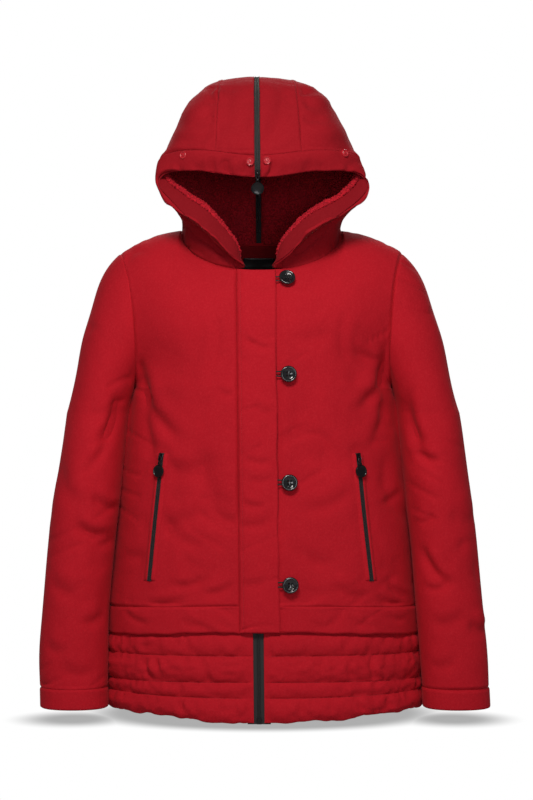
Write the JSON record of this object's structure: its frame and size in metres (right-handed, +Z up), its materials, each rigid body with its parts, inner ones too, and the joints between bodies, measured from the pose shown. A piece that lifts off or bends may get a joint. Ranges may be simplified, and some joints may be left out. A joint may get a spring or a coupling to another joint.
{
  "type": "hooded padded jacket",
  "caption": "Hooded, lightly padded winter jacket, filled out as worn: buttoned fly front, zipped hood with pile lining, slanting zip pockets and a quilted layer below the hem band.",
  "frame": {"origin": "between the wearer's shoulders, on the centre line, level with the points where the neck meets the shoulder seams", "axes": "+Z up, -Y to the wearer's front, +X to the wearer's left"},
  "size_m": [0.6426, 0.301, 0.9178],
  "materials": {
    "shell_cloth": "matt red microfibre, plain weave",
    "pile_lining": "red curly pile",
    "label_satin": "black satin, bare",
    "zip_tape": "dark grey coil tape",
    "zip_metal": "black nickel",
    "button_resin": "glossy black",
    "snap_plastic": "satin red",
    "loop_cord": "black elastic"
  },
  "bodies": {
    "jacket": {"front_right": "shell_cloth", "front_left": "shell_cloth", "placket": "shell_cloth", "back": "shell_cloth", "band_right": "shell_cloth", "band_left": "shell_cloth", "band_back": "shell_cloth", "quilt_right": "shell_cloth", "quilt_left": "shell_cloth", "quilt_back": "shell_cloth", "hem_zip_tape": "zip_tape", "hem_zip_box": "zip_metal", "sleeve_right": "shell_cloth", "sleeve_left": "shell_cloth", "cuff_right": "shell_cloth", "cuff_left": "shell_cloth", "hood_band_right": "shell_cloth", "hood_band_left": "shell_cloth", "hood_facing_right": "shell_cloth", "hood_facing_left": "shell_cloth", "hood_side_right": "shell_cloth", "hood_side_left": "shell_cloth", "hood_centre_right": "shell_cloth", "hood_centre_left": "shell_cloth", "hood_lining_side_right": "pile_lining", "hood_lining_side_left": "pile_lining", "hood_lining_centre_right": "pile_lining", "hood_lining_centre_left": "pile_lining", "hood_zip_tape": "zip_tape", "neck_facing": "shell_cloth", "label": "label_satin", "hood_snap_1": "snap_plastic", "hood_snap_2": "snap_plastic", "hood_snap_3": "snap_plastic", "hood_snap_4": "snap_plastic", "button_1": "button_resin", "button_2": "button_resin", "button_3": "button_resin", "button_4": "button_resin", "button_loop_1": "loop_cord", "button_loop_2": "loop_cord", "button_loop_3": "loop_cord", "button_loop_4": "loop_cord", "pocket_zip_right": "zip_tape", "pocket_zip_left": "zip_tape", "pocket_slider_right": "zip_metal", "pocket_slider_left": "zip_metal", "hood_zip_slider": "zip_metal"},
    "pull_right": {"pocket_pull_right": "zip_metal"},
    "pull_left": {"pocket_pull_left": "zip_metal"},
    "pull_hood": {"hood_pull": "zip_metal"}
  },
  "joints": [
    {"name": "right_pocket_pull", "type": "hinge", "parent": "jacket", "child": "pull_right", "pos_m": [-0.1375, -0.10822, -0.32259], "axis": [-0.8291, 0.5557, 0.0614], "range_deg": [0, 115]},
    {"name": "left_pocket_pull", "type": "hinge", "parent": "jacket", "child": "pull_left", "pos_m": [0.14155, -0.11383, -0.32263], "axis": [-0.86, -0.5029, -0.0861], "range_deg": [0, 115]},
    {"name": "hood_zip_pull", "type": "hinge", "parent": "jacket", "child": "pull_hood", "pos_m": [-0.00077, -0.14053, 0.06896], "axis": [-1, 0, 0], "range_deg": [0, 115]}
  ]
}
